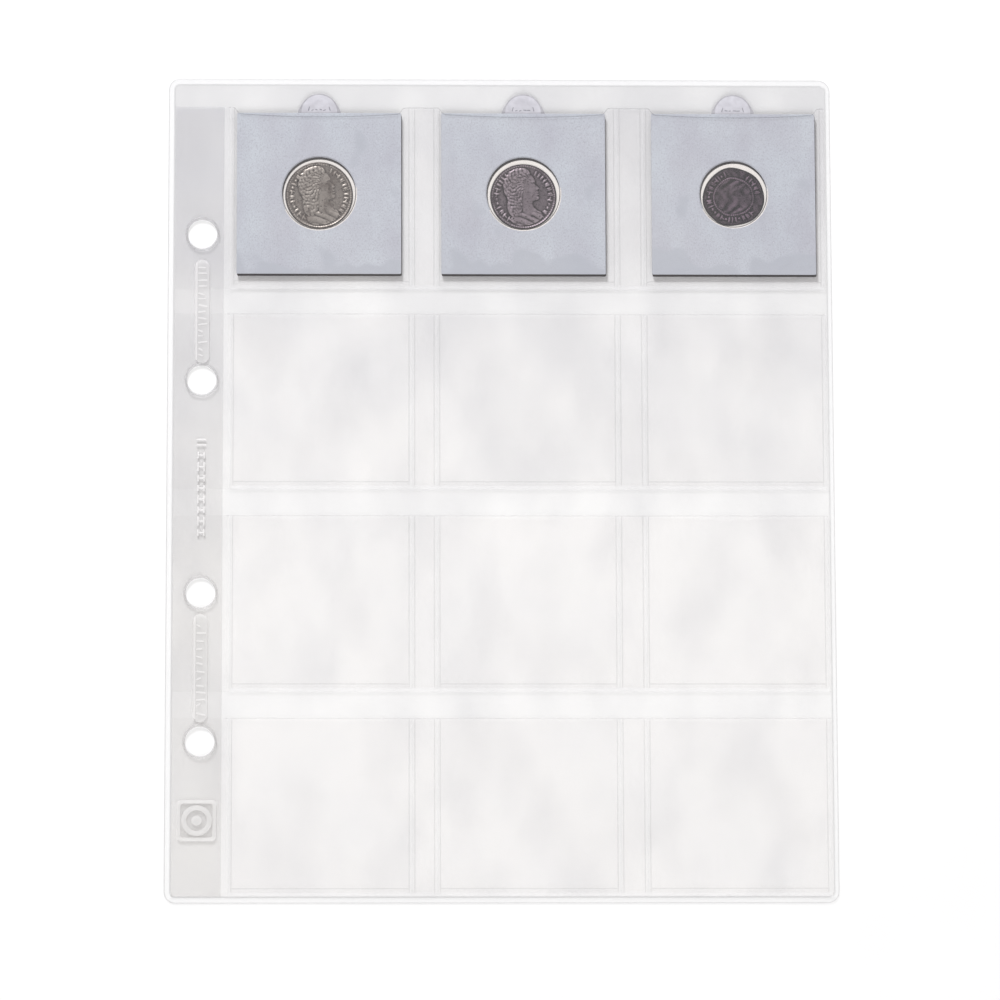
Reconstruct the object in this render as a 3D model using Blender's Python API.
# Coin album page: a clear plastic ring-binder leaf with twelve pockets, three of them filled
# with square card coin holders.  Metres, +Z up.  The page lies on its back on z = 0, its top
# edge toward +Y and its binding margin toward -X.
import math

import bmesh
import bpy
import numpy as np
from mathutils import Vector
from mathutils.geometry import tessellate_polygon

MM = 0.001

# ---- page outline -------------------------------------------------------------------------
PAGE_W, PAGE_H = 202.0, 252.0        # standard pocket page for a four-ring binder
CORNER_R = 3.5
HEM_W = 1.9                          # welded border
HEM_RIGHT_W = 1.4

# ---- binding margin and the crease beside it ----------------------------------------------
MARGIN_EDGE_X = -83.6                # free edge of the margin, next to the crease
LEAF_EDGE_X = -82.4                  # start of the pocket leaf, past the crease
FOLD_X, FOLD_Z = -83.0, 0.25         # crease axis
WEB_CLEAR = 0.1
MARGIN_FILM_X = (-98.9, -84.0)
RING_X = -90.5
RING_Y = (77.5, 32.5, -32.5, -77.5)  # four-ring punching, 45 / 65 / 45 mm apart
RING_HOLE_R = 4.5
RIM_R = 5.2

# ---- heights of the film layers -----------------------------------------------------------
BACK_TOP = 0.20
HEM_Z = (0.25, 0.40)
REINFORCEMENT_Z = (0.25, 0.40)
MARGIN_FILM_Z = (0.45, 0.60)
RIM_Z = (0.65, 0.85)
FLAT_WELD_Z = (0.25, 0.45)
FLAT_FILM_Z = (0.50, 0.65)
FULL_WELD_Z = (0.25, 1.90)           # the filled row stands up round its holders
FULL_FILM_Z = (1.95, 2.10)

# ---- pocket rows and columns --------------------------------------------------------------
ROW_PITCH = 61.5
ROW_BOTTOM = 60.5                    # bottom of the top row
ROW_H = (56.6, 54.0, 53.6, 53.6)
FULL_MOUTH_DIP = 2.7                 # the mouth of a filled pocket is pulled down by its card
COLUMN_X = (-54.35, 8.15, 71.15)
SEAM_OFFSET = 27.45                  # pocket centre to the middle of its side weld
SEAM_W = 1.0
FOOT_WELD_W = 1.2

# ---- coin holders -------------------------------------------------------------------------
CARD = 50.0
CARD_CORNER_R = 0.4
HOLDER_Y = 90.1
HOLDER_X = (-55.1, 7.1, 71.2)
CARD_BACK_Z = (0.45, 0.90)           # clear of the hem when the holder slides out
CARD_FRONT_Z = (1.20, 1.65)
CARD_BACK_SHIFT = (0.15, -0.45)      # the rear card is folded a little off the front one
WINDOW_R = (11.25, 11.25, 10.3)
WINDOW_GAP = 0.1                     # window film to the card's cut edge
WINDOW_FILM = 0.05
FLANGE_R = 16.0                      # part of the window film clamped between the cards
BACK_PAN_Z = (0.50, 0.95)            # outer face of the pan, lower face of the flange
FRONT_PAN_Z = (1.70, 1.10)
TAB_R = 5.8
TAB_ROOT = 6.0
TAB_Z = (0.97, 1.13)

# ---- coins --------------------------------------------------------------------------------
COIN_R = (10.25, 10.05, 9.15)
COIN_SAG = (0.6, 0.85, 0.8)          # each coin rests low in its window
COIN_Z = ((0.60, 1.60), (0.60, 1.60), (0.70, 1.50))
COIN_RIM_W, COIN_RIM_H = 0.55, 0.12

RING_SEGMENTS = 40
WINDOW_SEGMENTS = 56
COIN_SEGMENTS = 72

for old in list(bpy.data.objects):
    bpy.data.objects.remove(old, do_unlink=True)


# ---- materials ----------------------------------------------------------------------------
def material(name, colour, roughness, metallic=0.0, alpha=1.0):
    mat = bpy.data.materials.new(name)
    mat.use_nodes = True
    shader = mat.node_tree.nodes["Principled BSDF"]
    shader.inputs["Base Color"].default_value = (*colour, 1.0)
    shader.inputs["Roughness"].default_value = roughness
    shader.inputs["Metallic"].default_value = metallic
    shader.inputs["Alpha"].default_value = alpha
    mat.diffuse_color = (*colour, alpha)
    mat.roughness, mat.metallic = roughness, metallic
    return mat


BACK_FILM = material("back_film", (0.90, 0.90, 0.92), 0.18, alpha=0.55)
FRONT_FILM = material("front_film", (0.92, 0.92, 0.95), 0.12, alpha=0.30)
MARGIN_FILM = material("margin_film", (0.80, 0.80, 0.85), 0.22, alpha=0.55)
WELD = material("weld", (0.86, 0.86, 0.90), 0.25, alpha=0.60)
RIM = material("hole_rim", (0.70, 0.70, 0.76), 0.20, alpha=0.70)
CARD_STOCK = material("card_stock", (0.56, 0.58, 0.66), 0.85)
WINDOW = material("window_film", (0.95, 0.95, 0.95), 0.05, alpha=0.15)
TAB = material("pull_tab", (0.68, 0.68, 0.76), 0.60, alpha=0.80)
COIN_MATERIALS = (
    material("silver_coin", (0.42, 0.39, 0.36), 0.40, metallic=0.9),
    material("toned_coin", (0.25, 0.22, 0.25), 0.45, metallic=0.9),
    material("dark_coin", (0.07, 0.055, 0.07), 0.50, metallic=0.8),
)


# ---- mesh helpers -------------------------------------------------------------------------
def solid(name, verts, faces, mat, origin=(0.0, 0.0, 0.0), parent=None, smooth=False):
    """One closed body; verts are in millimetres about origin, which is in page coordinates."""
    mesh = bpy.data.meshes.new(name)
    mesh.from_pydata([tuple(c * MM for c in v) for v in verts], [], faces)
    bm = bmesh.new()
    bm.from_mesh(mesh)
    bmesh.ops.recalc_face_normals(bm, faces=bm.faces)
    if smooth:
        for face in bm.faces:
            face.smooth = True
        for edge in bm.edges:
            if len(edge.link_faces) == 2:
                edge.smooth = edge.calc_face_angle(0.0) < math.radians(40)
    bm.to_mesh(mesh)
    bm.free()
    mesh.materials.append(mat)
    obj = bpy.data.objects.new(name, mesh)
    bpy.context.scene.collection.objects.link(obj)
    place(obj, origin, parent)
    return obj


def place(obj, origin, parent):
    """Put obj at a page position, under a parent empty if there is one."""
    spot = Vector(origin) * MM
    if parent is not None:
        obj.parent = parent
        spot = spot - page_position(parent)
    obj.location = spot


def page_position(obj):
    spot = Vector(obj.location)
    while obj.parent is not None:
        obj = obj.parent
        spot = spot + Vector(obj.location)
    return spot


def pivot(name, origin, parent=None):
    """An empty that carries one rigid body and marks its joint."""
    empty = bpy.data.objects.new(name, None)
    empty.empty_display_size = 0.01
    bpy.context.scene.collection.objects.link(empty)
    place(empty, origin, parent)
    return empty


def plate(name, outline, z, mat, holes=(), origin=(0.0, 0.0, 0.0), parent=None, smooth=False):
    """A flat sheet between z[0] and z[1] with straight-cut holes."""
    loops = [list(outline)] + [list(h) for h in holes]
    flat = [p for loop in loops for p in loop]
    count = len(flat)
    triangles = tessellate_polygon([[Vector((x, y, 0.0)) for x, y in loop] for loop in loops])
    verts = [(x, y, z[0] - origin[2]) for x, y in flat]
    verts += [(x, y, z[1] - origin[2]) for x, y in flat]
    faces = [tuple(t) for t in triangles]
    faces += [tuple(i + count for i in t) for t in triangles]
    start = 0
    for loop in loops:
        n = len(loop)
        for i in range(n):
            a, b = start + i, start + (i + 1) % n
            faces.append((a, b, b + count, a + count))
        start += n
    return solid(name, verts, faces, mat, origin, parent, smooth)


def turned(name, profile, segments, mat, origin, parent):
    """A closed profile of (radius, z) points turned about the vertical axis."""
    verts, rings = [], []
    for radius, height in profile:
        if radius == 0.0:
            rings.append([len(verts)] * segments)
            verts.append((0.0, 0.0, height))
            continue
        rings.append([len(verts) + i for i in range(segments)])
        for i in range(segments):
            turn = 2.0 * math.pi * i / segments
            verts.append((radius * math.cos(turn), radius * math.sin(turn), height))
    faces = []
    for k in range(len(rings)):
        low, high = rings[k], rings[(k + 1) % len(rings)]
        for i in range(segments):
            j = (i + 1) % segments
            corners = []
            for index in (low[i], low[j], high[j], high[i]):
                if index not in corners:
                    corners.append(index)
            if len(corners) > 2:
                faces.append(tuple(corners))
    return solid(name, verts, faces, mat, origin, parent, smooth=True)


def rounded(x0, x1, y0, y1, radii, steps=6):
    """Outline of a rectangle; radii are for the corners (x1,y0), (x1,y1), (x0,y1), (x0,y0)."""
    corners = ((x1, y0, -90.0), (x1, y1, 0.0), (x0, y1, 90.0), (x0, y0, 180.0))
    points = []
    for (x, y, start), radius in zip(corners, radii):
        if radius == 0.0:
            points.append((x, y))
            continue
        cx = x - radius if x == x1 else x + radius
        cy = y - radius if y == y1 else y + radius
        for i in range(steps + 1):
            turn = math.radians(start + 90.0 * i / steps)
            points.append((cx + radius * math.cos(turn), cy + radius * math.sin(turn)))
    return points


def box_outline(x0, x1, y0, y1):
    return rounded(x0, x1, y0, y1, (0.0, 0.0, 0.0, 0.0))


def circle(x, y, radius, segments):
    steps = np.arange(segments) * 2.0 * math.pi / segments
    return [(x + radius * math.cos(t), y + radius * math.sin(t)) for t in steps]


# ---- the binding margin, which the binder's rings hold ------------------------------------
half_w, half_h = PAGE_W / 2, PAGE_H / 2
margin = pivot("binding_margin", (0.0, 0.0, 0.0))
ring_holes = [circle(RING_X, y, RING_HOLE_R, RING_SEGMENTS) for y in RING_Y]
row_bottoms = [ROW_BOTTOM - ROW_PITCH * i for i in range(4)]
row_tops = [bottom + height for bottom, height in zip(row_bottoms, ROW_H)]

plate("margin_back_film",
      rounded(-half_w, MARGIN_EDGE_X, -half_h, half_h, (0.0, 0.0, CORNER_R, CORNER_R)),
      (0.0, BACK_TOP), BACK_FILM, ring_holes, parent=margin)
plate("margin_reinforcement",
      box_outline(*MARGIN_FILM_X, row_bottoms[3], row_tops[0]),
      REINFORCEMENT_Z, MARGIN_FILM, ring_holes, parent=margin)
for row, (bottom, top, hole) in enumerate(zip(row_bottoms, row_tops, ring_holes), 1):
    plate(f"margin_film_row_{row}", box_outline(*MARGIN_FILM_X, bottom, top),
          MARGIN_FILM_Z, MARGIN_FILM, [hole], parent=margin)
for number, y in enumerate(RING_Y, 1):
    turned(f"hole_rim_{number}",
           [(RIM_R, RIM_Z[0]), (RIM_R, RIM_Z[1] - 0.08), (RIM_R - 0.12, RIM_Z[1]),
            (RING_HOLE_R + 0.1, RIM_Z[1]), (RING_HOLE_R, RIM_Z[1] - 0.08), (RING_HOLE_R, RIM_Z[0])],
           RING_SEGMENTS, RIM, (RING_X, y, 0.0), margin)


def hem_outline(edge_x, side, width):
    """The welded border on three sides of one half of the page, open toward the crease."""
    low, high = sorted((edge_x, side * half_w))
    right, left = (CORNER_R, 0.0) if side > 0 else (0.0, CORNER_R)
    outside = rounded(low, high, -half_h, half_h, (right, right, left, left))
    inner_low = low if side > 0 else low + width
    inner_high = high - width if side > 0 else high
    inside = box_outline(inner_low, inner_high, -half_h + HEM_W, half_h - HEM_W)
    if side > 0:
        paths = [[loop[-1]] + loop[:-1] for loop in (outside, inside)]
    else:
        paths = [loop[1:] + [loop[0]] for loop in (outside, inside)]
    return paths[0] + paths[1][::-1]


plate("margin_hem", hem_outline(MARGIN_EDGE_X, -1, HEM_W), HEM_Z, WELD, parent=margin)
plate("crease_web",
      box_outline(MARGIN_EDGE_X + WEB_CLEAR, LEAF_EDGE_X - WEB_CLEAR, -half_h, half_h),
      (0.0, BACK_TOP), BACK_FILM, parent=margin)

# ---- the pocket leaf, which turns about the crease ----------------------------------------
leaf = pivot("leaf_fold_axis", (FOLD_X, 0.0, FOLD_Z), margin)
LEAF_ORIGIN = (FOLD_X, 0.0, FOLD_Z)


def leaf_plate(name, outline, z, mat):
    shifted = [(x - LEAF_ORIGIN[0], y - LEAF_ORIGIN[1]) for x, y in outline]
    return plate(name, shifted, z, mat, origin=LEAF_ORIGIN, parent=leaf)


leaf_plate("leaf_back_film",
           rounded(LEAF_EDGE_X, half_w, -half_h, half_h, (CORNER_R, CORNER_R, 0.0, 0.0)),
           (0.0, BACK_TOP), BACK_FILM)
leaf_plate("leaf_hem", hem_outline(LEAF_EDGE_X, 1, HEM_RIGHT_W), HEM_Z, WELD)

film_x = (COLUMN_X[0] - SEAM_OFFSET - SEAM_W / 2, COLUMN_X[2] + SEAM_OFFSET + SEAM_W / 2)
seam_x = [x + side * SEAM_OFFSET for x in COLUMN_X for side in (-1, 1)]

# top row: separate welds, standing as high as the holders need
bottom = row_bottoms[0]
full_top = row_tops[0] - FULL_MOUTH_DIP
leaf_plate("pocket_film_row_1", box_outline(*film_x, bottom, full_top), FULL_FILM_Z, FRONT_FILM)
leaf_plate("foot_weld_row_1", box_outline(*film_x, bottom, bottom + FOOT_WELD_W),
           FULL_WELD_Z, WELD)
for number, x in enumerate(seam_x, 1):
    leaf_plate(f"side_weld_row_1_{number}",
               box_outline(x - SEAM_W / 2, x + SEAM_W / 2, bottom + FOOT_WELD_W + 0.1, full_top),
               FULL_WELD_Z, WELD)

# empty rows: one comb-shaped weld each, a foot with six side welds
for row in (2, 3, 4):
    bottom, top = row_bottoms[row - 1], row_tops[row - 1]
    comb = [(film_x[1], bottom), (film_x[1], top)]
    for x in reversed(seam_x):
        right, left = x + SEAM_W / 2, x - SEAM_W / 2
        if right < film_x[1] - 1e-6:
            comb += [(right, bottom + FOOT_WELD_W), (right, top)]
        if left > film_x[0] + 1e-6:
            comb += [(left, top), (left, bottom + FOOT_WELD_W)]
    comb += [(film_x[0], top), (film_x[0], bottom)]
    leaf_plate(f"weld_comb_row_{row}", comb, FLAT_WELD_Z, WELD)
    leaf_plate(f"pocket_film_row_{row}", box_outline(*film_x, bottom, top),
               FLAT_FILM_Z, FRONT_FILM)


# ---- coin holders, each one sliding in its pocket -----------------------------------------
def coin_outline_radius(index, turn):
    """Struck coins are round; the third is a hammered flan with an uneven edge."""
    radius = COIN_R[index]
    if index < 2:
        return radius
    return radius * (1.0 + 0.022 * math.cos(2 * turn - 0.3) + 0.016 * math.cos(3 * turn + 1.1)
                     - 0.010 * math.cos(5 * turn) + 0.006 * math.cos(7 * turn + 0.8))


def coin(name, index, origin, parent):
    low, high = COIN_Z[index]
    rings = ((0.0, low + COIN_RIM_H), (-COIN_RIM_W, low + COIN_RIM_H), (-COIN_RIM_W + 0.12, low),
             (-0.1, low), (-0.0001, low + 0.08), (-0.0001, high - 0.08), (-0.1, high),
             (-COIN_RIM_W + 0.12, high), (-COIN_RIM_W, high - COIN_RIM_H),
             (0.0, high - COIN_RIM_H))
    verts = [(0.0, 0.0, rings[0][1])]
    starts = []
    for offset, height in rings[1:-1]:
        starts.append(len(verts))
        for i in range(COIN_SEGMENTS):
            turn = 2.0 * math.pi * i / COIN_SEGMENTS
            radius = coin_outline_radius(index, turn) + offset
            verts.append((radius * math.cos(turn), radius * math.sin(turn), height))
    verts.append((0.0, 0.0, rings[-1][1]))
    faces = []
    for i in range(COIN_SEGMENTS):
        j = (i + 1) % COIN_SEGMENTS
        faces.append((0, starts[0] + j, starts[0] + i))
        for a, b in zip(starts, starts[1:]):
            faces.append((a + i, a + j, b + j, b + i))
        faces.append((starts[-1] + i, starts[-1] + j, len(verts) - 1))
    return solid(name, verts, faces, COIN_MATERIALS[index], origin, parent, smooth=True)


def window_pan(name, radius, pan_z, flange_z, origin, parent):
    """Window film: a shallow pan lining the card's window, with a flange between the cards."""
    wall = radius - WINDOW_GAP
    step = WINDOW_FILM if pan_z < flange_z else -WINDOW_FILM
    near, far = (flange_z, flange_z + WINDOW_FILM)
    outer_flange = near if step > 0 else far
    inner_flange = far if step > 0 else near
    profile = [(0.0, pan_z), (wall, pan_z), (wall, outer_flange), (FLANGE_R, outer_flange),
               (FLANGE_R, inner_flange), (wall - WINDOW_FILM, inner_flange),
               (wall - WINDOW_FILM, pan_z + step), (0.0, pan_z + step)]
    return turned(name, profile, WINDOW_SEGMENTS, WINDOW, origin, parent)


def tab_outline():
    """A tongue whose round end stands above the card's top edge."""
    top = CARD / 2 + 0.25
    points = [(-TAB_R, top - TAB_ROOT), (TAB_R, top - TAB_ROOT)]
    steps = 24
    points += [(TAB_R * math.cos(math.pi * i / steps), top + TAB_R * math.sin(math.pi * i / steps))
               for i in range(steps + 1)]
    return points


half_card = CARD / 2
card_outline = rounded(-half_card, half_card, -half_card, half_card, (CARD_CORNER_R,) * 4, 3)
for index, x in enumerate(HOLDER_X):
    number = index + 1
    centre = (x, HOLDER_Y, 0.0)
    holder = pivot(f"holder_{number}_slide", centre, leaf)
    window = circle(0.0, 0.0, WINDOW_R[index], WINDOW_SEGMENTS)
    rear = (x + CARD_BACK_SHIFT[0], HOLDER_Y + CARD_BACK_SHIFT[1], 0.0)
    plate(f"card_back_{number}", card_outline, CARD_BACK_Z, CARD_STOCK, [window], rear, holder)
    plate(f"card_front_{number}", card_outline, CARD_FRONT_Z, CARD_STOCK, [window], centre, holder)
    window_pan(f"window_film_back_{number}", WINDOW_R[index], *BACK_PAN_Z, rear, holder)
    window_pan(f"window_film_front_{number}", WINDOW_R[index], *FRONT_PAN_Z, centre, holder)
    coin(f"coin_{number}", index, (x, HOLDER_Y - COIN_SAG[index], 0.0), holder)
    plate(f"pull_tab_{number}", tab_outline(), TAB_Z, TAB, (), centre, holder)
